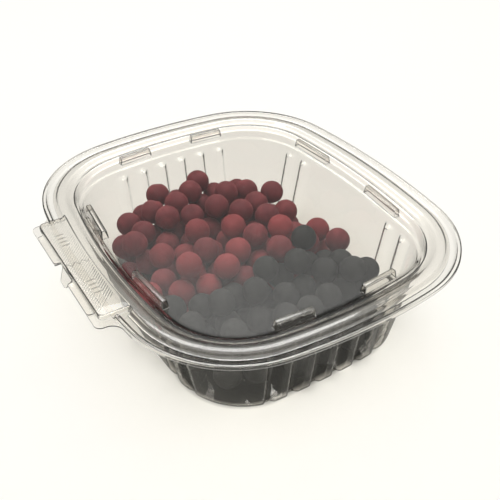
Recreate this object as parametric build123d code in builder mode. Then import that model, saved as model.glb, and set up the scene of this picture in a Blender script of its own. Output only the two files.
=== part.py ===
from build123d import *
import math
import os

import numpy as np

# A clear hinged food pack: one thin formed sheet makes a ribbed tray and a lid, joined along a
# folded tab, with a heap of round berries inside. Millimetres, +Z up. The origin is on the table,
# under the middle of the tray. The hinge runs along Y on the -X side.

# Rim outline, seen from above
pack_width = 165.0
pack_length = 189.0
side_bow = 10.0
corner_radius = 52.0

# Sheet and levels
sheet = 0.5
lip_level = 52.0
flange_drop = 2.1
lid_gap = 0.1

# Raised outer lip of the tray
lip_skirt = 1.6
lip_lean = 0.2
lip_land = 1.8
lip_slope = 0.9

# Tray body
mouth_inset = 14.5
shoulder_depth = 7.0
shoulder_lean = 0.6
ledge_width = 1.9
ledge_fall = 0.4
foot_width = 116.0
foot_length = 144.0
foot_bow = 4.0
foot_radius = 35.0
foot_chamfer = 1.5
foot_chamfer_height = 2.5

# Upright grooves that leave ribs between them
groove_pitch = 11.7
groove_mouth = 7.0
groove_floor = 3.6
groove_depth = 3.0
groove_top_margin = 3.0
short_side_grooves = (-2.5, -1.5, -0.5, 0.5, 1.5, 2.5)
long_side_grooves = (-4, -3, 3, 4)

# Lid rim, from its trimmed edge inwards to the flat panel
lid_edge_inset = 5.0
hem_width = 1.0
crest_rise_run = 1.1
crest_height = 0.3
crest_width = 3.8
crest_fall_run = 2.6
seat_width = 2.2
step_run = 2.2
panel_drop = 3.4
panel_lap = 1.6

# Stacking lugs on the lid panel
lug_height = 3.7
lug_width = 3.6
lug_draft = 0.6
lug_clearance = 0.3
short_side_lug_length = 18.5
short_side_lug_offset = 21.2
long_side_lug_length = 25.5
long_side_lug_offset = 28.2

# Hinge tab
hinge_reach = 6.3
tab_length = 72.0
tab_rise = 1.0
tab_strip = 2.8
tab_lap = 8.0
tray_tab_margin = 3.0
tray_tab_corner = 3.0
tray_tab_root = 16.0
tray_tab_clearance = 1.0
strap_gap = 15.0
tongue_width = 11.0
tongue_tip = 6.0
tongue_length = 6.2
tongue_angle = 62.0

# Berries
berry_radius = 6.5
berry_facet_radius = 6.15
berry_gap = 0.15
berry_count = 168
heap_tilt_x = -0.02
heap_tilt_y = 0.18
heap_seed = 3
heap_margin = 1.0
settle_rounds = 400
settle_passes = 3
settle_step = 1.2
settle_share = 0.38
settle_ease = 0.35
settle_calm = 0.2
colour_line_y = -12.0

# Worked out from the sizes above
flange_level = lip_level - flange_drop
lid_level = flange_level + lid_gap
seat_level = lid_level + sheet
panel_level = lip_level - panel_drop
crest_level = lip_level + crest_height
crest_foot_inset = lid_edge_inset + hem_width
crest_outer_inset = crest_foot_inset + crest_rise_run
crest_inner_inset = crest_outer_inset + crest_width
seat_inset = crest_inner_inset + crest_fall_run
panel_inset = seat_inset + seat_width + step_run
shoulder_level = flange_level - sheet - shoulder_depth
wall_top_level = shoulder_level - ledge_fall
wall_top_inset = mouth_inset + shoulder_lean + ledge_width
groove_top_level = wall_top_level - groove_top_margin
hinge_x = -pack_width / 2 - hinge_reach
tab_outer_x = hinge_x + tab_strip
tab_top_level = lip_level + tab_rise

os.makedirs("parts", exist_ok=True)


def bowed_outline(level, width, length, bow, radius, inset=0.0):
    """A level sketch of a round-cornered rectangle with bowed sides, drawn in by an inset."""
    x, y = width / 2, length / 2
    right_back, left_back = (x - bow, y - bow), (bow - x, y - bow)
    right_front, left_front = (x - bow, bow - y), (bow - x, bow - y)
    with BuildSketch() as full:
        with BuildLine():
            ThreePointArc(left_front, (0, -y), right_front)
            ThreePointArc(right_front, (x, 0), right_back)
            ThreePointArc(right_back, (0, y), left_back)
            ThreePointArc(left_back, (-x, 0), left_front)
        make_face()
        fillet(full.vertices(), radius)
    with BuildSketch(Plane.XY.offset(level)) as drawn_in:
        with BuildLine():
            for edge in full.face().outer_wire().edges():
                points = [edge @ 0, edge @ 0.5, edge @ 1]
                ThreePointArc(*(point + (edge.arc_center - point).normalized() * inset for point in points))
        make_face()
    return drawn_in.sketch


def rim_outline(level, inset=0.0):
    """The rim's outline at a level, drawn in by an inset."""
    return bowed_outline(level, pack_width, pack_length, side_bow, corner_radius, inset)


def foot_outline(level, inset=0.0):
    """The tray foot's outline at a level, drawn in by an inset."""
    return bowed_outline(level, foot_width, foot_length, foot_bow, foot_radius, inset)


def strip_section(points):
    """Close a run of (inset, level) points into a strip one sheet thick on its lower side."""
    runs = [(Vector(*b) - Vector(*a)).normalized() for a, b in zip(points, points[1:])]
    normals = [Vector(run.Y, -run.X) for run in runs]
    lower = []
    for index, point in enumerate(points):
        before = normals[max(index - 1, 0)]
        after = normals[min(index, len(normals) - 1)]
        mitre = (before + after) * (sheet / (1 + before.dot(after)))
        lower.append(Vector(*point) + mitre)
    return [Vector(*point) for point in points] + lower[::-1]


def swept_ring(points):
    """Sweep a strip of (inset, level) points round the rim, in the part in hand."""
    section_plane = Plane(rim_path @ 0, x_dir=Vector(0, 0, 1).cross(rim_path % 0), z_dir=rim_path % 0)
    with BuildSketch(section_plane) as section:
        with BuildLine():
            Polyline(*strip_section(points), close=True)
        make_face()
    sweep(section.sketch, path=rim_path)


def arc_radius(half_chord, bow):
    """Radius of the arc that rises by bow over a half chord."""
    return (half_chord**2 + bow**2) / (2 * bow)


def side_reach(along, half_out, half_along, bow):
    """How far a bowed side stands from the middle, at a distance along it."""
    radius = arc_radius(half_along - bow, bow)
    return half_out - radius + math.sqrt(radius**2 - along**2)


def wall_reach(quarter, along, level):
    """How far the tray's outer wall stands from the middle on one side, at a level."""
    halves = [(foot_length / 2, foot_width / 2), (foot_width / 2, foot_length / 2)]
    foot_out, foot_along = halves[quarter % 2]
    rims = [(pack_length / 2, pack_width / 2), (pack_width / 2, pack_length / 2)]
    rim_out, rim_along = rims[quarter % 2]
    low = side_reach(along, foot_out, foot_along, foot_bow)
    high = side_reach(along, rim_out, rim_along, side_bow) - wall_top_inset
    share = (level - foot_chamfer_height) / (wall_top_level - foot_chamfer_height)
    return low + (high - low) * share


def groove_section(quarter, along, level, growth):
    """A trapezium across one groove at a level, grown by a thickness on its inner sides."""
    slope = (groove_mouth - groove_floor) / 2 / groove_depth
    floor_half = groove_floor / 2 + growth * (math.hypot(1, slope) - slope)
    floor_depth = groove_depth + growth
    mouth_half = floor_half + slope * (floor_depth + groove_depth)
    heading = math.radians(90 * quarter)
    along_dir = Vector(math.cos(heading), math.sin(heading))
    inward_dir = Vector(-math.sin(heading), math.cos(heading))
    start = along_dir * along - inward_dir * wall_reach(quarter, along, level)
    section_plane = Plane(start + Vector(0, 0, level), x_dir=along_dir, z_dir=(0, 0, 1))
    with BuildSketch(section_plane) as section:
        with BuildLine():
            Polyline(
                (-mouth_half, -groove_depth),
                (mouth_half, -groove_depth),
                (floor_half, floor_depth),
                (-floor_half, floor_depth),
                close=True,
            )
        make_face()
    return section.sketch


def cut_grooves(growth):
    """Cut the grooves of all four sides out of the part in hand."""
    for quarter in range(4):
        places = short_side_grooves if quarter % 2 == 0 else long_side_grooves
        for place in places:
            low = groove_section(quarter, place * groove_pitch, -groove_depth, growth)
            high = groove_section(quarter, place * groove_pitch, groove_top_level + growth, growth)
            loft([low, high], ruled=True, mode=Mode.SUBTRACT)


def lug_planes(level):
    """Planes of the eight lugs with their lengths: x runs along the panel's edge."""
    planes = []
    line_inset = panel_inset + lug_clearance + lug_width / 2
    sides = [
        (pack_length / 2, pack_width / 2, short_side_lug_offset, short_side_lug_length),
        (pack_width / 2, pack_length / 2, long_side_lug_offset, long_side_lug_length),
    ]
    for quarter in range(4):
        half_out, half_along, along, length = sides[quarter % 2]
        radius = arc_radius(half_along - side_bow, side_bow)
        for sign in (-1, 1):
            lean = math.asin(sign * along / (radius - line_inset))
            outward = Vector(math.sin(lean), -math.cos(lean))
            centre = Vector(0, radius - half_out) + outward * (radius - line_inset)
            turned = centre.rotate(Axis.Z, 90 * quarter)
            heading = Vector(math.cos(lean), math.sin(lean)).rotate(Axis.Z, 90 * quarter)
            planes.append((Plane(turned + Vector(0, 0, level), x_dir=heading, z_dir=(0, 0, 1)), length))
    return planes


def lug_blocks(low, high, shrink, mode):
    """Drafted blocks at the eight lug places, from one level to another, drawn in by a thickness."""
    for (base, length), (top, _) in zip(lug_planes(low), lug_planes(high)):
        with BuildSketch(base) as wide:
            Rectangle(length - 2 * shrink, lug_width - 2 * shrink)
        with BuildSketch(top) as narrow:
            Rectangle(length - 2 * shrink - 2 * lug_draft, lug_width - 2 * shrink - 2 * lug_draft)
        loft([wide.sketch, narrow.sketch], ruled=True, mode=mode)


def tab_plan(level, shrink, lap):
    """The lid tab seen from above: a rectangle drawn in by a thickness, up to an inset of the rim."""
    with BuildSketch(Plane.XY.offset(level)) as plan:
        with Locations((tab_outer_x + shrink, 0)):
            Rectangle(tray_tab_root, tab_length - 2 * shrink, align=(Align.MIN, Align.CENTER))
        add(rim_outline(level, lap), mode=Mode.SUBTRACT)
    return plan.sketch


def berry_reach(direction):
    """Half the distance at which two berries meet along unit directions: a ball with facet corners."""
    size = np.abs(direction)
    total = size.sum(axis=-1)
    facing = np.maximum(size.max(axis=-1), (total - size.min(axis=-1)) / math.sqrt(2))
    facing = np.maximum(facing, total / (2 * math.sqrt(2) - 1))
    return np.maximum(berry_radius, berry_facet_radius / np.maximum(facing, 0.5))


def kept_inside(centres):
    """Move berry centres up off the tray's floor and in from its walls."""
    centres[:, 2] = np.maximum(centres[:, 2], sheet + berry_radius + berry_gap)
    share = np.clip(centres[:, 2:] / wall_top_level, 0, 1)
    foot_half = np.array([foot_width, foot_length]) / 2
    mouth_half = np.array([pack_width, pack_length]) / 2 - wall_top_inset
    half = foot_half + (mouth_half - foot_half) * share
    bow = foot_bow + (side_bow - foot_bow) * share
    sag = bow * (centres[:, 1::-1] / half[:, ::-1]) ** 2
    core = half - sag - foot_radius - sheet - groove_depth - heap_margin
    past_core = np.clip(np.abs(centres[:, :2]) - core, 0, None)
    reach = np.linalg.norm(past_core, axis=1, keepdims=True)
    limit = foot_radius - berry_radius - berry_gap
    excess = 1 - limit / np.maximum(reach, limit)
    centres[:, :2] -= np.sign(centres[:, :2]) * past_core * excess
    return centres


def settled_berries():
    """Let berries sink into the tray until they lie on its floor, its walls and each other."""
    chance = np.random.default_rng(heap_seed)
    spread = np.array([foot_width, foot_length]) / 2 - foot_radius / 2
    centres = chance.uniform(-1, 1, (berry_count, 3)) * [*spread, 0]
    centres[:, 2] = np.linspace(berry_radius, lip_level * 2, berry_count)
    pull = np.array([heap_tilt_x, heap_tilt_y, -1.0])
    apart_from_self = np.eye(berry_count) * pack_length
    for round_number in range(settle_rounds):
        progress = round_number / settle_rounds
        ease = settle_ease + (settle_calm - settle_ease) * progress
        centres = centres + pull * settle_step * max(0.0, 1 - progress / settle_share)
        for _ in range(settle_passes):
            between = centres[:, None] - centres[None]
            distance = np.linalg.norm(between, axis=2) + apart_from_self
            direction = between / distance[..., None]
            overlap = np.clip(2 * berry_reach(direction) + berry_gap - distance, 0, None)
            centres = centres + (direction * overlap[..., None]).sum(axis=1) * ease
            centres = kept_inside(centres)
    return centres


rim_path = rim_outline(0).face().outer_wire()
tongue_normal = Vector(0, 0, 1).rotate(Axis.Y, -tongue_angle)
tongue_plane = Plane((tab_outer_x, 0, flange_level), x_dir=(0, 1, 0), z_dir=tongue_normal)

# Tray: a thin tub with grooved walls, a shoulder, a flat flange and a raised outer lip
with BuildPart() as tray_hollow:
    loft(
        [
            foot_outline(sheet, foot_chamfer + sheet),
            foot_outline(foot_chamfer_height + sheet, sheet),
            rim_outline(wall_top_level + sheet, wall_top_inset + sheet),
            rim_outline(shoulder_level + sheet, mouth_inset + shoulder_lean + sheet),
            rim_outline(flange_level + sheet, mouth_inset + sheet),
        ],
        ruled=True,
    )
    cut_grooves(sheet)

with BuildPart() as tray:
    loft(
        [
            foot_outline(0, foot_chamfer),
            foot_outline(foot_chamfer_height),
            rim_outline(wall_top_level, wall_top_inset),
            rim_outline(shoulder_level, mouth_inset + shoulder_lean),
            rim_outline(flange_level, mouth_inset),
        ],
        ruled=True,
    )
    cut_grooves(0.0)
    swept_ring(
        [
            (0, lip_level - lip_skirt),
            (lip_lean, lip_level),
            (lip_lean + lip_land, lip_level),
            (lip_lean + lip_land + lip_slope, flange_level),
            (mouth_inset + sheet / 2, flange_level),
        ]
    )
    add(tray_hollow.part, mode=Mode.SUBTRACT)
    # The lip stops where the hinge tab crosses it
    with BuildSketch(Plane.XY.offset(flange_level)):
        with Locations((hinge_x, 0)):
            Rectangle(2 * tray_tab_root, tab_length + 2 * tray_tab_clearance)
    extrude(amount=flange_drop, mode=Mode.SUBTRACT)
    # Hinge tab: a flat plate with a gap between its two straps
    with BuildSketch(Plane.XY.offset(flange_level - sheet)) as tray_tab:
        with Locations((hinge_x, 0)):
            Rectangle(tray_tab_root, tab_length + 2 * tray_tab_margin, align=(Align.MIN, Align.CENTER))
        fillet(tray_tab.vertices().group_by(Axis.X)[0], tray_tab_corner)
        with Locations((hinge_x, 0)):
            Rectangle(2 * tab_strip, strap_gap, mode=Mode.SUBTRACT)
    extrude(amount=sheet)
    # Tear tongue, hanging in the gap between the straps
    with BuildSketch(tongue_plane):
        with BuildLine():
            Polyline(
                (-tongue_width / 2, 0),
                (tongue_width / 2, 0),
                (tongue_tip / 2, tongue_length),
                (-tongue_tip / 2, tongue_length),
                close=True,
            )
        make_face()
    extrude(amount=-sheet)

# Lid: a raised rim that steps down to a flat panel with hollow stacking lugs, and a raised tab
with BuildPart() as lid:
    swept_ring(
        [
            (lid_edge_inset, seat_level),
            (crest_foot_inset, seat_level),
            (crest_outer_inset, crest_level),
            (crest_inner_inset, crest_level),
            (seat_inset, seat_level),
            (panel_inset - step_run, seat_level),
            (panel_inset, panel_level),
            (panel_inset + panel_lap, panel_level),
        ]
    )
    extrude(rim_outline(panel_level - sheet, panel_inset + panel_lap / 2), amount=sheet)
    lug_blocks(panel_level - sheet, panel_level + lug_height, 0, Mode.ADD)
    lug_blocks(panel_level - sheet, panel_level + lug_height - sheet, sheet, Mode.SUBTRACT)
    # Raised tab, hollow from below, from the hinge straps to the crest of the rim
    tab_height = tab_top_level - lid_level
    crest_rise = crest_level - lid_level
    extrude(tab_plan(lid_level, 0, tab_lap), amount=tab_height)
    extrude(tab_plan(lid_level, sheet, tab_lap - sheet), amount=tab_height - sheet, mode=Mode.SUBTRACT)
    extrude(tab_plan(lid_level, sheet, tab_lap), amount=crest_rise - sheet, mode=Mode.SUBTRACT)
    # Hinge straps, lying on those of the tray
    with BuildSketch(Plane.XY.offset(lid_level)):
        with Locations((hinge_x, 0)):
            Rectangle(tab_strip + sheet, tab_length, align=(Align.MIN, Align.CENTER))
            Rectangle(2 * tab_strip, strap_gap, mode=Mode.SUBTRACT)
    extrude(amount=sheet)

# Berries: one faceted ball, repeated where each berry has settled
with BuildPart() as berry:
    Box(2 * berry_facet_radius, 2 * berry_facet_radius, 2 * berry_facet_radius)
    chamfer(berry.edges(), berry_facet_radius * (2 - math.sqrt(2)))

berry_centres = [tuple(centre) for centre in settled_berries()]
red_centres = [centre for centre in berry_centres if centre[1] > colour_line_y]
black_centres = [centre for centre in berry_centres if centre[1] <= colour_line_y]

with BuildPart() as red_berries:
    with Locations(*red_centres):
        add(berry.part, clean=False)

with BuildPart() as black_berries:
    with Locations(*black_centres):
        add(berry.part, clean=False)

pieces = {"tray": tray, "lid": lid, "red_berries": red_berries, "black_berries": black_berries}
for name, piece in pieces.items():
    piece.part.label = name
    export_step(piece.part, f"parts/{name}.step")
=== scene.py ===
"""Looks of a clear hinged food pack that holds a heap of red and black berries."""

import logging
import math
from dataclasses import dataclass, replace
from enum import Enum
from typing import Any, Callable

import bmesh
import bpy
import numpy as np
from mathutils import Euler, Matrix, Vector


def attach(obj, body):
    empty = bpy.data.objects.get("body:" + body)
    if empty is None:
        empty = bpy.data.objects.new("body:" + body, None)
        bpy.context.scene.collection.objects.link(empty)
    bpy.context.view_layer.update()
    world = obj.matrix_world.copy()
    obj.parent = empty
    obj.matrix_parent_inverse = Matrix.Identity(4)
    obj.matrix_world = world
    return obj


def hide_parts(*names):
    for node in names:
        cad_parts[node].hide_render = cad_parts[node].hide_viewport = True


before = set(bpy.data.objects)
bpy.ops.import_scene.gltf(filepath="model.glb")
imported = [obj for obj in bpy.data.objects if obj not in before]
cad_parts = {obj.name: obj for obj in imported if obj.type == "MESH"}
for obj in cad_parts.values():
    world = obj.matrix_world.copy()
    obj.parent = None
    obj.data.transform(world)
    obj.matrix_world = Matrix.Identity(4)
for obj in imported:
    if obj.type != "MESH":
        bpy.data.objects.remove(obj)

log = logging.getLogger("clamshell_pack")

MM = 0.001
# How near a vertex lies to a place that picks it, roughly and finely
CLOSE = 0.1 * MM
HAIR = 0.005 * MM
# Vertices nearer than this become one
WELD = 0.02 * MM
# Edges bent by more than this are rounded
SHARP = math.radians(30)
# Faces that meet by less than this are shaded as one
SMOOTH = math.radians(50)
# The attribute with each berry's paleness, from 0 to 1: a random tone of its own, lowered by painted shade
# on the berries at the back of the heap
TONE_AND_PAINTED_SHADE = "berry_shade"

Number = float | int
Colour = tuple[float, float, float]


def eased(value: float) -> float:
    """A soft step from 0 to 1.

    Args:
        value: where between the ends, from 0 to 1; beyond them it is held.

    Returns:
        The softened share.
    """
    held = min(max(value, 0.0), 1.0)
    return held * held * (3 - 2 * held)


def bowed_radius(half: float, bow: float) -> float:
    """The radius of a side that bows out.

    Args:
        half: half the outline's size along the side.
        bow: how far the side bows out.

    Returns:
        The radius.
    """
    return ((half - bow) ** 2 + bow**2) / (2 * bow)


class BerryKind(Enum):
    """The two kinds of berry in the heap, by the CAD node that each one dresses."""

    RED = "red_berries"
    BLACK = "black_berries"


class Value:
    """A number on a node's socket, so that shader maths reads as Python maths."""

    def __init__(self, tree: "NodeTree", socket: bpy.types.NodeSocket) -> None:
        """Wrap a socket.

        Args:
            tree: the tree that new nodes join.
            socket: the output socket that carries the number.
        """
        self.tree = tree
        self.socket = socket

    def math(self, operation: str, *others: "Value | Number", clamp: bool = False) -> "Value":
        """Add a Math node.

        Args:
            operation: the Math node's operation.
            others: the other operands, in order.
            clamp: keep the result between 0 and 1.

        Returns:
            The result.
        """
        return self.tree.math(operation, self, *others, clamp=clamp)

    def __add__(self, other: "Value | Number") -> "Value":
        """The sum with another value."""
        return self.math("ADD", other)

    __radd__ = __add__

    def __sub__(self, other: "Value | Number") -> "Value":
        """The difference from another value."""
        return self.math("SUBTRACT", other)

    def __rsub__(self, other: "Value | Number") -> "Value":
        """The difference of a number and this value."""
        return self.tree.math("SUBTRACT", other, self)

    def __mul__(self, other: "Value | Number") -> "Value":
        """The product with another value."""
        return self.math("MULTIPLY", other)

    __rmul__ = __mul__

    def __truediv__(self, other: "Value | Number") -> "Value":
        """The quotient by another value."""
        return self.math("DIVIDE", other)

    def __gt__(self, other: "Value | Number") -> "Value":
        """One where this value is greater, otherwise zero."""
        return self.math("GREATER_THAN", other)

    def __lt__(self, other: "Value | Number") -> "Value":
        """One where this value is less, otherwise zero."""
        return self.math("LESS_THAN", other)

    def __abs__(self) -> "Value":
        """The size of this value."""
        return self.math("ABSOLUTE")


class NodeTree:
    """A material's or the world's nodes."""

    def __init__(self, tree: bpy.types.NodeTree) -> None:
        """Empty a tree and take hold of it."""
        self.tree = tree
        tree.nodes.clear()

    def node(self, kind: str, settings: dict[str, Any] | None = None, **values: Any) -> bpy.types.Node:
        """Add one node.

        Args:
            kind: the node's type name.
            settings: attributes that are set first, such as an operation; stops gives a ramp's
                (place, colour) pairs.
            values: socket values or links, by socket name with underscores for spaces, or as
                in_0, in_1 by place.

        Returns:
            The node.
        """
        made = self.tree.nodes.new(kind)
        for name, setting in (settings or {}).items():
            if name == "stops":
                elements = made.color_ramp.elements
                while len(elements) < len(setting):
                    elements.new(0.5)
                for element, (place, colour) in zip(elements, setting):
                    element.position = place
                    element.color = colour
            else:
                setattr(made, name, setting)
        for name, value in values.items():
            if name.startswith("in_"):
                socket = made.inputs[int(name.removeprefix("in_"))]
            else:
                socket = made.inputs[name.replace("_", " ")]
            self.feed(socket, value)
        return made

    def feed(self, socket: bpy.types.NodeSocket, value: Any) -> None:
        """Set a socket to a constant, or link it.

        Args:
            socket: the input socket.
            value: a Value, an output socket, or a constant.
        """
        if isinstance(value, Value):
            self.tree.links.new(value.socket, socket)
        elif isinstance(value, bpy.types.NodeSocket):
            self.tree.links.new(value, socket)
        else:
            socket.default_value = value

    def value(self, socket: bpy.types.NodeSocket) -> Value:
        """Wrap an output socket as a Value."""
        return Value(self, socket)

    def math(self, operation: str, *operands: Value | Number, clamp: bool = False) -> Value:
        """Add a Math node.

        Args:
            operation: the Math node's operation.
            operands: its operands, in order.
            clamp: keep the result between 0 and 1.

        Returns:
            The result.
        """
        inputs = {f"in_{place}": operand for place, operand in enumerate(operands)}
        made = self.node("ShaderNodeMath", {"operation": operation, "use_clamp": clamp}, **inputs)
        return self.value(made.outputs[0])

    def mix_colour(self, factor: Value | Number, first: Any, second: Any) -> bpy.types.NodeSocket:
        """Blend two colours.

        Args:
            factor: 0 gives the first colour and 1 the second.
            first: a colour or a link.
            second: a colour or a link.

        Returns:
            The blended colour's socket.
        """
        made = self.node("ShaderNodeMix", {"data_type": "RGBA"}, in_0=factor, in_6=first, in_7=second)
        return made.outputs[2]

    def noise(self, place: Any, scale: float, detail: float = 2.0) -> Value:
        """Soft random values over a surface.

        Args:
            place: the coordinates.
            scale: waves per metre.
            detail: how many finer layers are added.

        Returns:
            The noise, about 0 to 1.
        """
        made = self.node("ShaderNodeTexNoise", Vector=place, Scale=scale, Detail=detail)
        return self.value(made.outputs["Fac"])

    def object_place(self) -> bpy.types.NodeSocket:
        """The Object coordinates, in metres."""
        return self.node("ShaderNodeTexCoord").outputs["Object"]


@dataclass(frozen=True)
class TabHatch:
    """Fine lines, two rows of bars and a wavy tear line pressed into the tab and darkened with painted
    shade; lengths in millimetres.
    """

    pitch: float = 1.6
    lean: float = -1.06
    narrowness: float = 4.0
    weight: float = 0.9
    start: float = -34.0
    start_slope: float = 0.8
    outer_x: float = -86.0
    inner_x: float = -75.8
    half_width: float = 35.0
    lowest: float = 52.6
    bar_pitch: float = 2.8
    bar_share: float = 0.35
    bar_middle: tuple[float, float] = (-80.6, 18.0)
    bar_half: tuple[float, float] = (1.7, 5.5)
    tear_half: float = 0.4
    tear_swing: float = 0.9
    tear_wave: float = 1.9
    press: float = 0.05
    strength: float = 0.8
    # Painted shade: the dark colour laid in the pressed lines and bars
    colour: Colour = (0.5, 0.485, 0.45)

    def lines(self, tree: NodeTree, place: bpy.types.NodeSocket) -> Value:
        """Where the tab's lines lie.

        Args:
            tree: the material's nodes.
            place: the Object coordinates.

        Returns:
            One in the pressed lines, otherwise zero.
        """
        spot = tree.node("ShaderNodeSeparateXYZ", Vector=place)
        x, y, z = (tree.value(spot.outputs[axis]) / MM for axis in "XYZ")
        slant = ((y + x * self.lean) / self.pitch).math("FRACT")
        lines = 1 - (abs(slant - 0.5) * self.narrowness).math("MINIMUM", 1.0)
        bar_x, bar_y = self.bar_middle
        bar_row = (abs(x - bar_x) < self.bar_half[0]) * (abs(abs(y) - bar_y) < self.bar_half[1])
        bars = (y / self.bar_pitch).math("FRACT") < self.bar_share
        tear = abs(y - (x * self.tear_wave).math("SINE") * self.tear_swing) < self.tear_half
        hatched = (y - (x - self.outer_x) * self.start_slope) > self.start
        top = (z > self.lowest) * (x < self.inner_x) * (abs(y) < self.half_width)
        field = lines * hatched * (1 - bar_row) * self.weight + bar_row * bars
        return field.math("MAXIMUM", tear) * top


@dataclass(frozen=True)
class ClearSheet:
    """Clear glossy formed sheet: glass-like, with faint waves and, on the lid, the tab's lines darkened
    with painted shade.
    """

    name: str
    hatch: TabHatch | None = None
    tint: Colour = (0.98, 0.966, 0.94)
    shade: Colour = (0.9, 0.895, 0.88)
    index: float = 1.57
    roughness: float = 0.02
    wave_scale: float = 60.0
    wave_height: float = 0.02 * MM
    wave_strength: float = 0.3

    def material(self) -> bpy.types.Material:
        """Make the material.

        Returns:
            The finished material.
        """
        made = bpy.data.materials.new(self.name)
        made.use_nodes = True
        tree = NodeTree(made.node_tree)
        place = tree.object_place()
        waves = tree.noise(place, self.wave_scale)
        bump = tree.node(
            "ShaderNodeBump",
            Strength=self.wave_strength,
            Distance=self.wave_height,
            Height=waves,
        )
        colour: Any = (*self.tint, 1.0)
        if self.hatch is not None:
            lines = self.hatch.lines(tree, place)
            bump = tree.node(
                "ShaderNodeBump",
                Strength=self.hatch.strength,
                Distance=-self.hatch.press * MM,
                Height=lines,
                Normal=bump.outputs[0],
            )
            # Painted shade: the pressed lines are darkened in the sheet's colour
            colour = tree.mix_colour(lines, colour, (*self.hatch.colour, 1.0))
        glass = tree.node(
            "ShaderNodeBsdfPrincipled",
            Base_Color=colour,
            Roughness=self.roughness,
            IOR=self.index,
            Transmission_Weight=1.0,
            Normal=bump.outputs[0],
        )
        clear = tree.node("ShaderNodeBsdfTransparent", Color=(*self.shade, 1.0))
        ray = tree.node("ShaderNodeLightPath")
        both = tree.node(
            "ShaderNodeMixShader",
            in_0=ray.outputs["Is Shadow Ray"],
            in_1=glass.outputs[0],
            in_2=clear.outputs[0],
        )
        tree.node("ShaderNodeOutputMaterial", Surface=both.outputs[0])
        return made


@dataclass(frozen=True)
class BerrySkin:
    """Matte berry skin with a soft bloom, each berry a little different."""

    name: str
    deep: Colour
    bright: Colour
    bloom: Colour
    grain_height: float
    sheen: float
    shade_share: float = 0.7
    patch_scale: float = 160.0
    patch_detail: float = 3.0
    bloom_gain: float = 1.2
    grain_scale: float = 1500.0
    grain_detail: float = 4.0
    grain_strength: float = 0.6
    roughness: float = 0.65
    roughness_range: float = 0.25

    def material(self) -> bpy.types.Material:
        """Make the material.

        Returns:
            The finished material.
        """
        made = bpy.data.materials.new(self.name)
        made.use_nodes = True
        tree = NodeTree(made.node_tree)
        place = tree.object_place()
        # Each berry's paleness: its random tone, with painted shade on the berries at the back
        own = tree.node("ShaderNodeAttribute", {"attribute_name": TONE_AND_PAINTED_SHADE})
        shade = tree.value(own.outputs["Fac"])
        patches = tree.noise(place, self.patch_scale, self.patch_detail)
        grain = tree.noise(place, self.grain_scale, self.grain_detail)
        blend = shade * self.shade_share + patches * (1 - self.shade_share)
        body = tree.mix_colour(blend, (*self.deep, 1.0), (*self.bright, 1.0))
        dusting = (patches - 0.5).math("MULTIPLY", self.bloom_gain, clamp=True)
        skin = tree.mix_colour(dusting, body, (*self.bloom, 1.0))
        bump = tree.node(
            "ShaderNodeBump",
            Strength=self.grain_strength,
            Distance=self.grain_height,
            Height=grain,
        )
        surface = tree.node(
            "ShaderNodeBsdfPrincipled",
            Base_Color=skin,
            Roughness=grain * self.roughness_range + self.roughness,
            Normal=bump.outputs[0],
            Sheen_Weight=self.sheen,
            Sheen_Tint=(*self.bloom, 1.0),
        )
        tree.node("ShaderNodeOutputMaterial", Surface=surface.outputs[0])
        return made


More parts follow.
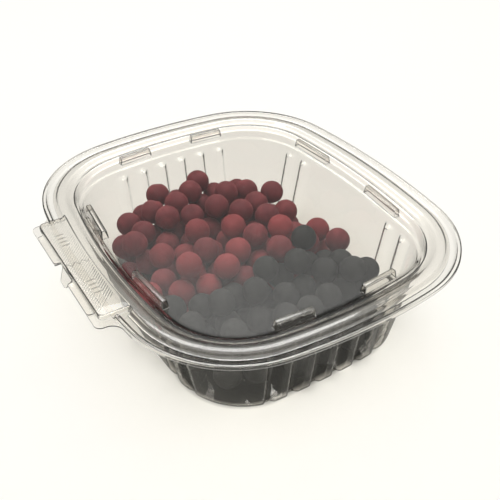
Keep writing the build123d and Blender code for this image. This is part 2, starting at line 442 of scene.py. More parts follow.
@dataclass
class BerryHeap:
    """The berries of one kind: one berry is modelled, then copied to each place in the heap."""

    kind: BerryKind
    skin: BerrySkin
    seed: int
    radius: float = 6.5 * MM
    smallest: float = 0.965
    dimple_depth: float = 0.9 * MM
    dimple_width: float = 3.0 * MM
    unevenness: float = 0.25 * MM
    lump_size: float = 5.2 * MM
    # Painted shade on the berries at the back: where it starts along Y, how far it takes to grow, and its
    # strength
    painted_shade_from: float = 0.0
    painted_shade_over: float = 40.0 * MM
    painted_shade_share: float = 0.85

    def places(self) -> list[Vector]:
        """The middle of each berry of the CAD node.

        Returns:
            The middles, in metres.
        """
        work = bmesh.new()
        work.from_mesh(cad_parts[self.kind.value].data)
        bmesh.ops.remove_doubles(work, verts=work.verts, dist=WELD)
        unseen = set(work.verts)
        middles = []
        while unseen:
            island, edge = [], [unseen.pop()]
            while edge:
                vertex = edge.pop()
                island.append(vertex.co.copy())
                near = {link.other_vert(vertex) for link in vertex.link_edges} & unseen
                unseen -= near
                edge.extend(near)
            middles.append(sum(island, Vector()) / len(island))
        work.free()
        return sorted(middles, key=lambda middle: tuple(round(part, 5) for part in middle))

    def model_berry(self) -> bpy.types.Object:
        """Model one berry at the origin: a ball with a dimple at its top and an uneven skin.

        Returns:
            The berry.
        """
        bpy.ops.object.select_all(action="DESELECT")
        bpy.ops.mesh.primitive_ico_sphere_add(subdivisions=3, radius=self.radius)
        berry = bpy.context.object
        bpy.ops.object.mode_set(mode="EDIT")
        bpy.ops.mesh.select_all(action="DESELECT")
        bpy.ops.object.mode_set(mode="OBJECT")
        for vertex in berry.data.vertices:
            vertex.select = vertex.co.z > self.radius - HAIR
        bpy.ops.object.mode_set(mode="EDIT")
        bpy.ops.transform.translate(
            value=(0, 0, -self.dimple_depth),
            use_proportional_edit=True,
            proportional_edit_falloff="SMOOTH",
            proportional_size=self.dimple_width,
        )
        bpy.ops.object.mode_set(mode="OBJECT")
        lumps = bpy.data.textures.new("berry_lumps", "CLOUDS")
        lumps.noise_scale = self.lump_size
        uneven = berry.modifiers.new("uneven", "DISPLACE")
        uneven.texture = lumps
        uneven.strength = self.unevenness
        uneven.mid_level = 0.5
        bpy.ops.object.modifier_apply(modifier=uneven.name)
        bpy.ops.object.shade_smooth()
        return berry

    def build(self) -> bpy.types.Object:
        """Copy the berry to every place, join the copies and dress them.

        Returns:
            The joined berries.
        """
        chance = np.random.default_rng(self.seed)
        berry = self.model_berry()
        copies = []
        for middle in self.places():
            copy = bpy.data.objects.new("berry", berry.data.copy())
            bpy.context.collection.objects.link(copy)
            turn = Euler(chance.uniform(0, 2 * math.pi, 3)).to_matrix().to_4x4()
            size = Matrix.Scale(chance.uniform(self.smallest, 1.0), 4)
            copy.data.transform(Matrix.Translation(middle) @ turn @ size)
            # Painted shade: berries further back get a darker colour, standing in for the shade they lie in
            painted_back_shade = self.painted_shade_share * eased((middle.y - self.painted_shade_from) / self.painted_shade_over)
            tone_and_shade = chance.uniform(0, 1) * (1 - painted_back_shade)
            shade = copy.data.attributes.new(TONE_AND_PAINTED_SHADE, "FLOAT", "POINT")
            shade.data.foreach_set("value", [tone_and_shade] * len(copy.data.vertices))
            copies.append(copy)
        bpy.data.objects.remove(berry)
        bpy.ops.object.select_all(action="DESELECT")
        for copy in copies:
            copy.select_set(True)
        bpy.context.view_layer.objects.active = copies[0]
        bpy.ops.object.join()
        heap = bpy.context.object
        heap.name = f"{self.kind.value}_heap"
        heap.data.materials.clear()
        heap.data.materials.append(self.skin.material())
        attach(heap, "tray_body")
        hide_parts(self.kind.value)
        log.info("%s: %d berries", heap.name, len(copies))
        return heap


# The left side's place among an outline's arcs
LEFT_SIDE = 6


@dataclass(frozen=True)
class Arc:
    """One arc of an outline seen from above."""

    centre: tuple[float, float]
    radius: float
    turn: float
    steps: int


@dataclass(frozen=True)
class Outline:
    """A round-cornered rectangle with bowed sides, followed anticlockwise from the middle of its front."""

    width: float
    length: float
    bow: float
    corner: float
    short_steps: int
    long_steps: int
    corner_steps: int

    def arcs(self) -> list[Arc]:
        """The arcs in order.

        Returns:
            Nine arcs: the front one is met in two halves.
        """
        half_x, half_y = self.width / 2, self.length / 2
        short, long = bowed_radius(half_x, self.bow), bowed_radius(half_y, self.bow)
        front, right = Vector((0, short - half_y)), Vector((half_x - long, 0))
        apart = right - front
        gap = apart.length
        along = ((short - self.corner) ** 2 - (long - self.corner) ** 2 + gap**2) / (2 * gap)
        aside = math.sqrt((short - self.corner) ** 2 - along**2)
        across = Vector((apart.y, -apart.x)) / gap
        bends = [front + apart / gap * along + across * aside * sign for sign in (-1, 1)]
        bend = max(bends, key=lambda spot: spot.x - spot.y)
        short_half = math.atan2(bend.x, front.y - bend.y)
        long_half = math.atan2(-bend.y, bend.x - right.x)
        corner_turn = math.pi / 2 - short_half - long_half
        half_front = Arc((0, front.y), short, short_half, self.short_steps // 2)

        def corner(x_sign: int, y_sign: int) -> Arc:
            """One corner's arc, by the signs of its place."""
            return Arc((bend.x * x_sign, -bend.y * y_sign), self.corner, corner_turn, self.corner_steps)

        return [
            half_front,
            corner(1, -1),
            Arc((right.x, 0), long, 2 * long_half, self.long_steps),
            corner(1, 1),
            Arc((0, -front.y), short, 2 * short_half, self.short_steps),
            corner(-1, 1),
            Arc((-right.x, 0), long, 2 * long_half, self.long_steps),
            corner(-1, -1),
            half_front,
        ]

    def ring(self, inset: float, level: float) -> np.ndarray:
        """Points round the outline.

        Args:
            inset: how far the ring is drawn in.
            level: its height.

        Returns:
            One row for each point.
        """
        points = []
        heading = -math.pi / 2
        for arc in self.arcs():
            for step in range(arc.steps):
                angle = heading + arc.turn * step / arc.steps
                reach = arc.radius - inset
                x = arc.centre[0] + reach * math.cos(angle)
                y = arc.centre[1] + reach * math.sin(angle)
                points.append((x, y, level))
            heading += arc.turn
        return np.array(points)

    def left_inset(self, spot: Vector) -> float:
        """How far a spot near the left side lies inside the outline.

        Args:
            spot: the spot.

        Returns:
            The inset.
        """
        left = self.arcs()[LEFT_SIDE]
        return left.radius - math.hypot(spot.x - left.centre[0], spot.y - left.centre[1])


@dataclass
class Bench:
    """Hand steps on the piece that is being modelled."""

    piece: bpy.types.Object

    @classmethod
    def chain(cls, points: list[Vector]) -> "Bench":
        """Start a piece as a chain of edges.

        Args:
            points: the points of the chain.

        Returns:
            The bench, in edit mode with the last point picked.
        """
        bpy.ops.object.select_all(action="DESELECT")
        bpy.ops.mesh.primitive_plane_add(size=MM, location=points[0])
        bpy.ops.object.transform_apply(location=True)
        bpy.ops.object.mode_set(mode="EDIT")
        bpy.ops.mesh.select_all(action="SELECT")
        bpy.ops.mesh.merge(type="CENTER")
        for here, there in zip(points, points[1:]):
            bpy.ops.mesh.extrude_vertices_move(TRANSFORM_OT_translate={"value": there - here})
        return cls(bpy.context.object)

    @classmethod
    def block(cls, low: Vector, high: Vector) -> "Bench":
        """Start a piece as a block.

        Args:
            low: its lowest corner.
            high: its highest corner.

        Returns:
            The bench, in edit mode with everything picked.
        """
        bpy.ops.object.select_all(action="DESELECT")
        bpy.ops.mesh.primitive_cube_add(size=1.0, location=(low + high) / 2)
        bpy.context.object.scale = high - low
        bpy.ops.object.transform_apply(location=True, scale=True)
        bpy.ops.object.mode_set(mode="EDIT")
        bpy.ops.mesh.select_all(action="SELECT")
        return cls(bpy.context.object)

    def pick(self, test: Callable[[Vector], bool]) -> None:
        """Pick vertices by their place, and stay in edit mode.

        Args:
            test: true for a place that is picked.
        """
        bpy.ops.mesh.select_mode(type="VERT")
        bpy.ops.mesh.select_all(action="DESELECT")
        bpy.ops.object.mode_set(mode="OBJECT")
        for vertex in self.piece.data.vertices:
            vertex.select = bool(test(vertex.co))
        bpy.ops.object.mode_set(mode="EDIT")
        bpy.ops.mesh.select_mode(type="VERT")

    def pick_faces(self, test: Callable[[bpy.types.MeshPolygon], bool]) -> None:
        """Pick whole faces, and stay in edit mode.

        Args:
            test: true for a face that is picked.
        """
        bpy.ops.mesh.select_mode(type="FACE")
        bpy.ops.mesh.select_all(action="DESELECT")
        bpy.ops.object.mode_set(mode="OBJECT")
        for face in self.piece.data.polygons:
            face.select = bool(test(face))
        bpy.ops.object.mode_set(mode="EDIT")

    def pick_sharp(self) -> None:
        """Pick the sharp edges, and stay in edit mode."""
        bpy.ops.mesh.select_mode(type="EDGE")
        bpy.ops.mesh.select_all(action="DESELECT")
        bpy.ops.mesh.edges_select_sharp(sharpness=SHARP)

    def move(self, new_place: Callable[[Vector], Any]) -> None:
        """Move each picked vertex on its own, and stay in edit mode.

        Args:
            new_place: gives a vertex's new place from its old one.
        """
        bpy.ops.object.mode_set(mode="OBJECT")
        for vertex in self.piece.data.vertices:
            if vertex.select:
                vertex.co = new_place(vertex.co)
        bpy.ops.object.mode_set(mode="EDIT")

    def cut(self, spots: list[float], axis: int) -> None:
        """Cut the whole piece across.

        Args:
            spots: where the cuts lie on the axis.
            axis: 0 for X, 1 for Y.
        """
        normal = Vector((axis == 0, axis == 1, 0))
        for spot in spots:
            bpy.ops.mesh.select_all(action="SELECT")
            bpy.ops.mesh.bisect(plane_co=normal * spot, plane_no=normal)

    def spin_round(self, outline: Outline) -> None:
        """Spin the picked chain round an outline and close the ring.

        Args:
            outline: the outline that the chain follows.
        """
        bpy.ops.mesh.select_all(action="SELECT")
        for arc in outline.arcs():
            bpy.ops.mesh.spin(steps=arc.steps, angle=-arc.turn, center=(*arc.centre, 0), axis=(0, 0, 1))
        bpy.ops.mesh.select_all(action="SELECT")
        bpy.ops.mesh.remove_doubles(threshold=WELD)

    def thicken(self, sheet: float) -> None:
        """Give the sheet its thickness, on the lower or inner side of its largest face, and smooth it.

        Args:
            sheet: the thickness.
        """
        bpy.ops.mesh.select_all(action="SELECT")
        bpy.ops.mesh.normals_make_consistent(inside=False)
        bpy.ops.object.mode_set(mode="OBJECT")
        largest = max(self.piece.data.polygons, key=lambda face: face.area)
        solid = self.piece.modifiers.new("sheet", "SOLIDIFY")
        solid.thickness = sheet
        solid.offset = -1.0 if largest.normal.z > 0 else 1.0
        bpy.ops.object.modifier_apply(modifier=solid.name)
        bpy.ops.object.mode_set(mode="EDIT")
        bpy.ops.mesh.select_all(action="SELECT")
        bpy.ops.mesh.normals_make_consistent(inside=False)
        bpy.ops.object.mode_set(mode="OBJECT")
        bpy.ops.object.shade_smooth_by_angle(angle=SMOOTH)

    def open_up(self, cores: list["Bench"]) -> None:
        """Cut other pieces out of this one, and drop them.

        Args:
            cores: the benches of the pieces that are cut out.
        """
        first, *rest = cores
        first.join(rest)
        bpy.ops.object.select_all(action="DESELECT")
        bpy.context.view_layer.objects.active = self.piece
        opening = self.piece.modifiers.new("openings", "BOOLEAN")
        opening.operation = "DIFFERENCE"
        opening.object = first.piece
        bpy.ops.object.modifier_apply(modifier=opening.name)
        bpy.data.objects.remove(first.piece)

    def join(self, others: list["Bench"]) -> None:
        """Join other pieces into this one.

        Args:
            others: the benches of the other pieces.
        """
        bpy.ops.object.select_all(action="DESELECT")
        for other in others:
            other.piece.select_set(True)
        self.piece.select_set(True)
        bpy.context.view_layer.objects.active = self.piece
        bpy.ops.object.join()


RIM = Outline(
    width=165 * MM,
    length=189 * MM,
    bow=10 * MM,
    corner=52 * MM,
    short_steps=104,
    long_steps=128,
    corner_steps=44,
)
FOOT = replace(RIM, width=116 * MM, length=144 * MM, bow=4 * MM, corner=35 * MM)
LID_RIM = replace(RIM, short_steps=24, long_steps=32, corner_steps=24)
SHEET = 0.5 * MM
FOLD_X = -86.0 * MM
HINGE_X = -88.7 * MM


@dataclass
class TrayShell:
    """The tray: lip, flange, shoulder and ledge spun round the rim, then grooved walls and the foot."""

    sheet: ClearSheet
    profile: tuple[tuple[float, float], ...] = (
        (0.0, 50.4),
        (0.2, 52.0),
        (2.0, 52.0),
        (2.9, 49.9),
        (15.0, 49.9),
        (15.6, 42.9),
        (17.1, 42.58),
    )
    bend: float = 0.6 * MM
    wall_inset: float = 17.5 * MM
    wall_top: float = 42.5 * MM
    groove_end_levels: tuple[float, ...] = (42.0, 41.2, 40.4, 39.9, 39.4, 38.9, 38.4, 37.8, 36.5)
    wall_levels: tuple[float, ...] = (32.0, 27.0, 22.0, 17.0, 12.0, 8.0, 5.0, 3.6, 3.1)
    foot_top: float = 3.0 * MM
    foot_bend: tuple[tuple[float, float], ...] = (
        (2.6, 0.75),
        (1.2, 1.6),
        (0.72, 1.95),
        (0.53, 2.4),
        (0.5, 3.2),
        (0.5, 8.0),
    )
    groove_pitch: float = 11.7 * MM
    groove_depth: float = 3.5 * MM
    groove_half: tuple[float, float] = (0.9 * MM, 4.9 * MM)
    groove_ends: tuple[float, float] = (40.3 * MM, 38.3 * MM)
    groove_reach: float = 6.0 * MM
    short_grooves: tuple[float, ...] = (-2.5, -1.5, -0.5, 0.5, 1.5, 2.5)
    long_grooves: tuple[float, ...] = (-4, -3, 3, 4)
    lip_gap: float = 37.0 * MM
    lip_side: float = -72.0 * MM
    flange: float = 49.9 * MM
    tab_level: float = 49.87 * MM
    tab_root: tuple[float, float] = (-79.0 * MM, 50.0 * MM)
    tab_neck: float = -80.4 * MM
    tab_half: float = 39.0 * MM
    tab_blend: float = 4.8 * MM
    tab_round: float = 3.0 * MM
    gap_half: float = 7.5 * MM
    tongue_x: float = -85.9 * MM
    tongue_lean: float = math.radians(62)
    tongue_length: float = 6.2 * MM
    tongue_half: tuple[float, float] = (5.5 * MM, 3.0 * MM)
    tongue_round: float = 1.2 * MM

    def grooved(self, points: np.ndarray) -> np.ndarray:
        """Press the upright grooves into a row of wall points.

        Args:
            points: the plain wall's points.

        Returns:
            The pressed points.
        """
        pressed = points.copy()
        start, full = self.groove_ends
        bottom, flank = self.groove_half
        for axis, places in ((0, self.short_grooves), (1, self.long_grooves)):
            out = 1 - axis
            for row, point in enumerate(points):
                along, level, distance = point[axis], point[2], abs(point[out])
                away = min(abs(along - place * self.groove_pitch) for place in places)
                end = eased((start - level) / (start - full))
                depth = self.groove_depth * (1 - eased((away - bottom) / (flank - bottom))) * end
                if depth <= 0:
                    continue
                share = (level - self.foot_top + SHEET) / (self.wall_top - self.foot_top)
                low = self.reach(FOOT, axis, along)
                high = self.reach(RIM, axis, along) - self.wall_inset + SHEET
                wall = low + (high - low) * share
                if distance > wall - self.groove_depth - self.groove_reach:
                    pressed[row][out] = math.copysign(min(distance, wall - depth), point[out])
        return pressed

    @staticmethod
    def reach(outline: Outline, axis: int, along: float) -> float:
        """How far a bowed side of an outline stands from the middle.

        Args:
            outline: the outline.
            axis: the axis that the side runs along, 0 for X and 1 for Y.
            along: the distance along the side from its middle.

        Returns:
            The distance.
        """
        sizes = (outline.width, outline.length)
        radius = bowed_radius(sizes[axis] / 2, outline.bow)
        return sizes[1 - axis] / 2 - radius + math.sqrt(radius**2 - along**2)

    def rows(self) -> list[np.ndarray]:
        """The wall's and the foot's rows of points, from the top down.

        Returns:
            The rows, each with one point for each column of the rim.
        """
        rows = []
        for level in (*self.groove_end_levels, *self.wall_levels):
            share = (level * MM - self.foot_top) / (self.wall_top - self.foot_top)
            low, high = FOOT.ring(SHEET, level * MM), RIM.ring(self.wall_inset, level * MM)
            rows.append(self.grooved(low + (high - low) * share))
        for level, inset in self.foot_bend:
            rows.append(self.grooved(FOOT.ring(inset * MM, level * MM)))
        return rows

    def build(self) -> bpy.types.Object:
        """Model the tray and dress it.

        Returns:
            The tray.
        """
        points = [Vector((0, -RIM.length / 2 + inset * MM, level * MM)) for inset, level in self.profile]
        bench = Bench.chain(points)
        bpy.ops.mesh.select_all(action="SELECT")
        bpy.ops.mesh.bevel(offset=self.bend, segments=4, affect="VERTICES")
        bench.spin_round(RIM)
        bench.pick(
            lambda spot: spot.x < self.lip_side
            and abs(spot.y) < self.lip_gap
            and spot.z > self.flange
        )
        bench.move(lambda spot: (spot.x, spot.y, self.flange))
        last_inset, last_level = self.profile[-1]
        before = RIM.ring(last_inset * MM, last_level * MM)
        bench.pick(lambda spot: abs(spot.z - last_level * MM) < HAIR)
        for row in self.rows():
            bpy.ops.mesh.extrude_region_move()
            bench.move(lambda spot: row[np.argmin(((before - np.array(spot)) ** 2).sum(axis=1))])
            before = row
        bpy.ops.mesh.edge_face_add()
        bench.thicken(SHEET)
        bench.join([self.tab(), self.tongue()])
        piece = bench.piece
        piece.name = "tray_shell"
        piece.data.materials.clear()
        piece.data.materials.append(self.sheet.material())
        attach(piece, "tray_body")
        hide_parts("tray")
        log.info("%s: %d faces", piece.name, len(piece.data.polygons))
        return piece

    def tab(self) -> Bench:
        """Model the hinge tab: a flat plate with two straps, rounded into the rim.

        Returns:
            The bench with the plate.
        """
        root_x, root_half = self.tab_root
        half = [
            (root_x, -root_half),
            (self.tab_neck, -self.tab_half),
            (HINGE_X, -self.tab_half),
            (HINGE_X, -self.gap_half),
            (FOLD_X, -self.gap_half),
        ]
        outline = half + [(x, -y) for x, y in reversed(half)]
        bench = Bench.chain([Vector((x, y, self.tab_level)) for x, y in outline])
        for corner, offset in ((self.tab_neck, self.tab_blend), (HINGE_X, self.tab_round)):
            bench.pick(
                lambda spot: abs(abs(spot.y) - self.tab_half) < CLOSE and abs(spot.x - corner) < CLOSE
            )
            bpy.ops.mesh.bevel(offset=offset, segments=6, affect="VERTICES")
        bpy.ops.mesh.select_all(action="SELECT")
        bpy.ops.mesh.edge_face_add()
        bench.thicken(SHEET)
        return bench

    def tongue(self) -> Bench:
        """Model the tear tongue that hangs between the straps.

        Returns:
            The bench with the tongue.
        """
        lean = self.tongue_lean
        run = Vector((-math.cos(lean), 0, -math.sin(lean))) * self.tongue_length
        root = Vector((self.tongue_x, 0, self.tab_level))
        side, tip = (Vector((0, half, 0)) for half in self.tongue_half)
        bench = Bench.chain([root - side, root + run - tip, root + run + tip, root + side])
        bpy.ops.mesh.select_all(action="SELECT")
        bpy.ops.mesh.bevel(offset=self.tongue_round, segments=4, affect="VERTICES")
        bpy.ops.mesh.select_all(action="SELECT")
        bpy.ops.mesh.edge_face_add()
        bench.thicken(SHEET)
        return bench


@dataclass
class LidShell:
    """The lid: hem, crest, seat and step spun round the rim, flat panel, stacking lugs and hinge tab."""

    sheet: ClearSheet
    profile: tuple[tuple[float, float], ...] = (
        (5.0, 50.5),
        (6.0, 50.5),
        (7.1, 52.3),
        (10.9, 52.3),
        (13.5, 50.5),
        (15.7, 50.5),
        (17.9, 48.6),
        (20.2, 48.6),
    )
    bend: float = 0.8 * MM
    panel: float = 48.6 * MM
    lug_inset: float = 20.0 * MM
    lug_size: tuple[float, float] = (3.6 * MM, 3.7 * MM)
    lug_draft: float = 0.6 * MM
    lug_round: float = 0.55 * MM
    lug_root: float = 0.85 * MM
    lug_skirt: float = 0.35 * MM
    core_inset: float = 0.4 * MM
    core_depth: float = 1.0 * MM
    short_lugs: tuple[float, float] = (18.5 * MM, 21.2 * MM)
    long_lugs: tuple[float, float] = (25.5 * MM, 28.2 * MM)
    rim_cut: float = 7.6 * MM
    tab_half: float = 36.0 * MM
    tab_levels: tuple[float, float] = (50.5 * MM, 53.0 * MM)
    tab_inset: float = 8.0 * MM
    tab_margin: float = 1.2 * MM
    tab_hem: float = 51.9 * MM
    tab_curve: float = 362.0 * MM
    tab_corner: float = 2.4 * MM
    tab_bend: float = 0.6 * MM
    tab_cuts: tuple[float, ...] = (7.5 * MM, 12.0 * MM, 18.0 * MM, 24.0 * MM, 30.0 * MM)
    gap_half: float = 7.4 * MM
    strap_end: float = 30.0 * MM
    strap_round: float = 1.2 * MM

    def build(self) -> bpy.types.Object:
        """Model the lid and dress it.

        Returns:
            The lid.
        """
        points = [Vector((0, -RIM.length / 2 + inset * MM, level * MM)) for inset, level in self.profile]
        bench = Bench.chain(points)
        bpy.ops.mesh.select_all(action="SELECT")
        bpy.ops.mesh.bevel(offset=self.bend, segments=4, affect="VERTICES")
        bench.spin_round(LID_RIM)
        inner = self.profile[-1][0] * MM
        edge = LID_RIM.ring(inner, self.panel)
        bench.pick(lambda spot: ((edge - np.array(spot)) ** 2).sum(axis=1).min() < WELD**2)
        bpy.ops.mesh.edge_face_add()
        bench.pick(
            lambda spot: spot.x < 0
            and abs(spot.y) < self.tab_half - SHEET
            and RIM.left_inset(spot) < self.rim_cut
        )
        bpy.ops.mesh.delete(type="VERT")
        bench.thicken(SHEET)
        bench.open_up(self.lugs(self.lug_core))
        bench.join([self.tab(), *self.lugs(self.lug)])
        piece = bench.piece
        piece.name = "lid_shell"
        piece.data.materials.clear()
        piece.data.materials.append(self.sheet.material())
        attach(piece, "lid_body")
        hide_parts("lid")
        log.info("%s: %d faces", piece.name, len(piece.data.polygons))
        return piece

    def lug(self, length: float) -> Bench:
        """Model one hollow lug at the origin, standing on the panel.

        Args:
            length: its length along X.

        Returns:
            The bench with the lug.
        """
        width, height = self.lug_size
        low = Vector((-length / 2, -width / 2, self.panel - self.lug_root))
        bench = Bench.block(low, Vector((length / 2, width / 2, self.panel + height)))
        bench.pick(lambda spot: spot.z > self.panel + height / 2)
        bench.move(
            lambda spot: (
                spot.x - math.copysign(self.lug_draft, spot.x),
                spot.y - math.copysign(self.lug_draft, spot.y),
                spot.z,
            )
        )
        bpy.ops.mesh.select_all(action="SELECT")
        bpy.ops.mesh.bevel(offset=self.lug_round, segments=4, affect="EDGES")
        bench.pick(lambda spot: spot.z < self.panel - self.lug_skirt)
        bpy.ops.mesh.delete(type="VERT")
        bench.thicken(SHEET)
        return bench

    def lug_core(self, length: float) -> Bench:
        """Model the hollow under one lug, as it goes through the panel.

        Args:
            length: the lug's length along X.

        Returns:
            The bench with the hollow's block.
        """
        half = Vector(
            (length / 2 - self.core_inset, self.lug_size[0] / 2 - self.core_inset, self.core_depth)
        )
        middle = Vector((0, 0, self.panel))
        bench = Bench.block(middle - half, middle + half)
        bpy.ops.object.mode_set(mode="OBJECT")
        return bench

    def lugs(self, model: Callable[[float], Bench]) -> list[Bench]:
        """Copy a piece in the two lengths of lug to the lugs' eight places.

        Args:
            model: makes the piece at the origin for a lug's length.

        Returns:
            The benches with the copies.
        """
        made = []
        sides = [(RIM.length, RIM.width, self.short_lugs), (RIM.width, RIM.length, self.long_lugs)]
        for side, (out, across, (length, offset)) in enumerate(sides):
            pattern = model(length)
            radius = bowed_radius(across / 2, RIM.bow)
            reach = radius - self.lug_inset
            for quarter in (side, side + 2):
                for sign in (-1, 1):
                    lean = math.asin(sign * offset / reach)
                    spot = Vector((math.sin(lean) * reach, radius - out / 2 - math.cos(lean) * reach, 0))
                    turn = Matrix.Rotation(math.radians(90 * quarter), 4, "Z")
                    copy = bpy.data.objects.new("lug", pattern.piece.data.copy())
                    bpy.context.collection.objects.link(copy)
                    copy.data.transform(turn @ Matrix.Translation(spot) @ Matrix.Rotation(lean, 4, "Z"))
                    made.append(Bench(copy))
            bpy.data.objects.remove(pattern.piece)
        return made

    def tab(self) -> Bench:
        """Model the raised hinge tab, hollow from below, with its two flat straps.

        Returns:
            The bench with the tab.
        """
        inner = -RIM.width / 2 + self.tab_inset
        foot, top = self.tab_levels
        halfway = (foot + top) / 2
        bench = Bench.block(
            Vector((FOLD_X, -self.tab_half, foot)),
            Vector((inner, self.tab_half, top)),
        )
        bench.cut([*(-spot for spot in reversed(self.tab_cuts)), 0.0, *self.tab_cuts], 1)
        bench.cut([inner - self.tab_margin], 0)
        bench.pick_faces(lambda face: face.normal.z < -0.5)
        bpy.ops.mesh.delete(type="FACE")
        bench.pick(lambda spot: spot.x < FOLD_X + CLOSE and abs(spot.y) > self.tab_half - CLOSE)
        bpy.ops.mesh.bevel(offset=self.tab_corner, segments=5, affect="EDGES")
        bench.pick(lambda spot: spot.x > inner - CLOSE and spot.z < halfway)
        bench.move(lambda spot: (spot.x, spot.y, self.tab_hem))
        bench.pick(lambda spot: spot.x > inner - self.tab_margin - CLOSE)
        bench.move(lambda spot: (spot.x + spot.y**2 / (2 * self.tab_curve), spot.y, spot.z))
        bench.pick(
            lambda spot: spot.x < FOLD_X + CLOSE
            and spot.z < halfway
            and self.gap_half < abs(spot.y) < self.strap_end + CLOSE
        )
        bpy.ops.mesh.extrude_region_move(TRANSFORM_OT_translate={"value": (HINGE_X - FOLD_X, 0, 0)})
        middle = (self.gap_half + self.strap_end) / 2
        corners_from = (self.strap_end - self.gap_half) / 2 - self.strap_round
        bench.pick(
            lambda spot: spot.x < HINGE_X + CLOSE and abs(abs(spot.y) - middle) > corners_from
        )
        bpy.ops.mesh.bevel(offset=self.strap_round, segments=4, affect="VERTICES")
        bench.pick_sharp()
        bpy.ops.mesh.bevel(offset=self.tab_bend, segments=4, affect="EDGES", clamp_overlap=True)
        bench.thicken(SHEET)
        return bench


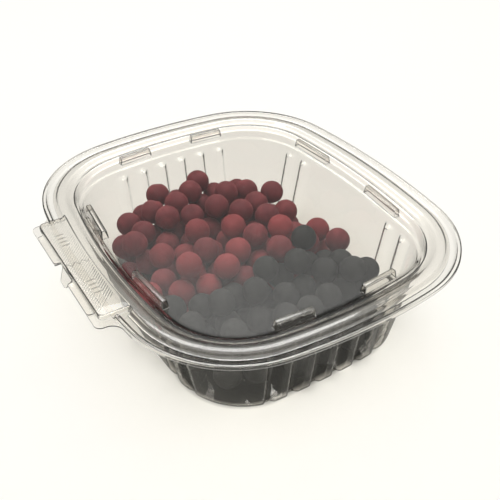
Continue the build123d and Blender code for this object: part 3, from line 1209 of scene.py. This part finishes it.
@dataclass
class Studio:
    """Pale floor, soft light and the camera."""

    azimuth: float = -32.0
    elevation: float = 37.5
    target: tuple[float, float, float] = (-14.1 * MM, -29.7 * MM, 52.0 * MM)
    distance: float = 302.5 * MM
    lens: float = 50.4
    sensor: float = 36.0
    nearest: float = 10.0 * MM
    floor_size: float = 8.0
    background: Colour = (0.965, 0.95, 0.91)
    # Painted shade: the dark colour laid on the floor under the pack's foot
    painted_foot_shade: Colour = (0.02, 0.02, 0.018)
    foot_core: tuple[float, float] = (23.0 * MM, 37.0 * MM)
    foot_round: float = 29.5 * MM
    foot_fade: float = 4.0 * MM
    shade_fade: float = 55.0 * MM
    # Painted shade far off: the floor is darkened from this distance, over this span, by this share, for
    # all but camera rays
    dim_from: float = 0.3
    dim_over: float = 0.35
    dim_share: float = 0.85
    # Painted reflection: how much darker the floor is made where it is seen mirrored
    painted_reflection_dim: float = 0.7
    glow_share: float = 0.6
    sky: tuple[tuple[float, float], ...] = ((0.45, 0.04), (0.57, 0.17), (0.7, 0.88), (0.82, 1.0))
    sky_blue: float = 0.97
    sky_strength: float = 1.4
    lamp_size: tuple[float, float] = (0.6, 0.4)
    lamp_place: tuple[float, float, float] = (0.15, 0.35, 0.8)
    lamp_aim: tuple[float, float, float] = (0.0, 0.0, 0.04)
    lamp_watts: float = 3.0

    def camera(self) -> None:
        """Set up the camera at the viewing angle."""
        turn, rise = math.radians(self.azimuth), math.radians(self.elevation)
        back = Vector((math.sin(turn) * math.cos(rise), -math.cos(turn) * math.cos(rise), math.sin(rise)))
        data = bpy.data.cameras.new("camera")
        data.lens = self.lens
        data.sensor_width = self.sensor
        data.clip_start = self.nearest
        made = bpy.data.objects.new("camera", data)
        made.location = Vector(self.target) + back * self.distance
        made.rotation_euler = back.to_track_quat("Z", "Y").to_euler()
        bpy.context.scene.collection.objects.link(made)
        bpy.context.scene.camera = made

    def floor(self) -> None:
        """Lay the floor: painted shade under the foot, pale to the camera, and painted darker in
        reflections and far off.
        """
        bpy.ops.object.select_all(action="DESELECT")
        bpy.ops.mesh.primitive_plane_add(size=self.floor_size)
        floor = bpy.context.object
        floor.name = "floor"
        made = bpy.data.materials.new("pale_floor")
        made.use_nodes = True
        tree = NodeTree(made.node_tree)
        ray = tree.node("ShaderNodeLightPath")
        camera = tree.value(ray.outputs["Is Camera Ray"])
        through = tree.value(ray.outputs["Is Transmission Ray"])
        mirrored = tree.value(ray.outputs["Glossy Depth"]) > 0.5
        seen = camera.math("MAXIMUM", through)
        place = tree.node("ShaderNodeSeparateXYZ", Vector=tree.object_place())
        x, y = (tree.value(place.outputs[axis]) for axis in "XY")
        # Painted shade under the foot: a rounded patch round the foot's middle, fading out at its edge
        aside = (abs(x) - self.foot_core[0]).math("MAXIMUM", 0.0)
        along = (abs(y) - self.foot_core[1]).math("MAXIMUM", 0.0)
        away = (aside * aside + along * along).math("SQRT")
        outside_painted_shade = ((away - self.foot_round) / self.foot_fade).math("ADD", 0.0, clamp=True)
        # Painted shade and reflection: the floor's colour is darkened far off for all but camera rays, and
        # where it is seen mirrored
        far = ((x * x + y * y).math("SQRT") - self.dim_from) / self.dim_over
        far_dim = far.math("MULTIPLY", self.dim_share, clamp=True).math("MINIMUM", self.dim_share)
        painted_dimming = (1 - far_dim * (1 - camera)) * (1 - mirrored * self.painted_reflection_dim)
        colour = tree.mix_colour(outside_painted_shade * painted_dimming, (*self.painted_foot_shade, 1.0), (*self.background, 1.0))
        fade = ((away - self.foot_round) / self.shade_fade).math("MULTIPLY", 1.0, clamp=True)
        matte = tree.node("ShaderNodeBsdfDiffuse", Color=colour)
        glow = tree.node("ShaderNodeEmission", Color=colour, Strength=1.0)
        share = fade * seen * self.glow_share
        both = tree.node("ShaderNodeMixShader", in_0=share, in_1=matte.outputs[0], in_2=glow.outputs[0])
        tree.node("ShaderNodeOutputMaterial", Surface=both.outputs[0])
        floor.data.materials.append(made)

    def world(self) -> None:
        """Light from a sky that darkens toward the horizon, with a plain pale background for the camera."""
        world = bpy.data.worlds.new("studio")
        bpy.context.scene.world = world
        world.use_nodes = True
        tree = NodeTree(world.node_tree)
        direction = tree.node("ShaderNodeTexCoord").outputs["Generated"]
        place = tree.node("ShaderNodeSeparateXYZ", Vector=direction)
        stops = [(height, (level, level, level * self.sky_blue, 1.0)) for height, level in self.sky]
        sky = tree.node("ShaderNodeValToRGB", {"stops": stops}, Fac=place.outputs["Z"])
        light = tree.node("ShaderNodeBackground", Color=sky.outputs[0], Strength=self.sky_strength)
        plain = tree.node("ShaderNodeBackground", Color=(*self.background, 1.0))
        seen = tree.node("ShaderNodeLightPath").outputs["Is Camera Ray"]
        both = tree.node("ShaderNodeMixShader", in_0=seen, in_1=light.outputs[0], in_2=plain.outputs[0])
        tree.node("ShaderNodeOutputWorld", Surface=both.outputs[0])

    def lamps(self) -> None:
        """Hang one large soft lamp over the pack."""
        data = bpy.data.lights.new("overhead", "AREA")
        data.shape = "RECTANGLE"
        data.size, data.size_y = self.lamp_size
        data.energy = self.lamp_watts
        lamp = bpy.data.objects.new("overhead", data)
        lamp.location = self.lamp_place
        back = Vector(self.lamp_place) - Vector(self.lamp_aim)
        lamp.rotation_euler = back.to_track_quat("Z", "Y").to_euler()
        bpy.context.scene.collection.objects.link(lamp)

    def build(self) -> None:
        """Set up the whole studio."""
        bpy.context.scene.view_settings.view_transform = "Standard"
        self.camera()
        self.floor()
        self.world()
        self.lamps()


def main() -> None:
    """Build and dress every piece."""
    logging.basicConfig(level=logging.INFO)
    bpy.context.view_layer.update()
    red = BerrySkin(
        "red_skin",
        deep=(0.085, 0.006, 0.012),
        bright=(0.28, 0.03, 0.034),
        bloom=(0.34, 0.06, 0.07),
        grain_height=0.12 * MM,
        sheen=0.2,
    )
    black = BerrySkin(
        "black_skin",
        deep=(0.004, 0.004, 0.004),
        bright=(0.008, 0.008, 0.0075),
        bloom=(0.014, 0.014, 0.013),
        grain_height=0.2 * MM,
        sheen=0.05,
    )
    BerryHeap(BerryKind.RED, red, seed=4).build()
    BerryHeap(BerryKind.BLACK, black, seed=9).build()
    TrayShell(ClearSheet("tray_sheet")).build()
    LidShell(ClearSheet("lid_sheet", TabHatch())).build()
    Studio().build()


if __name__ == "__main__":
    main()
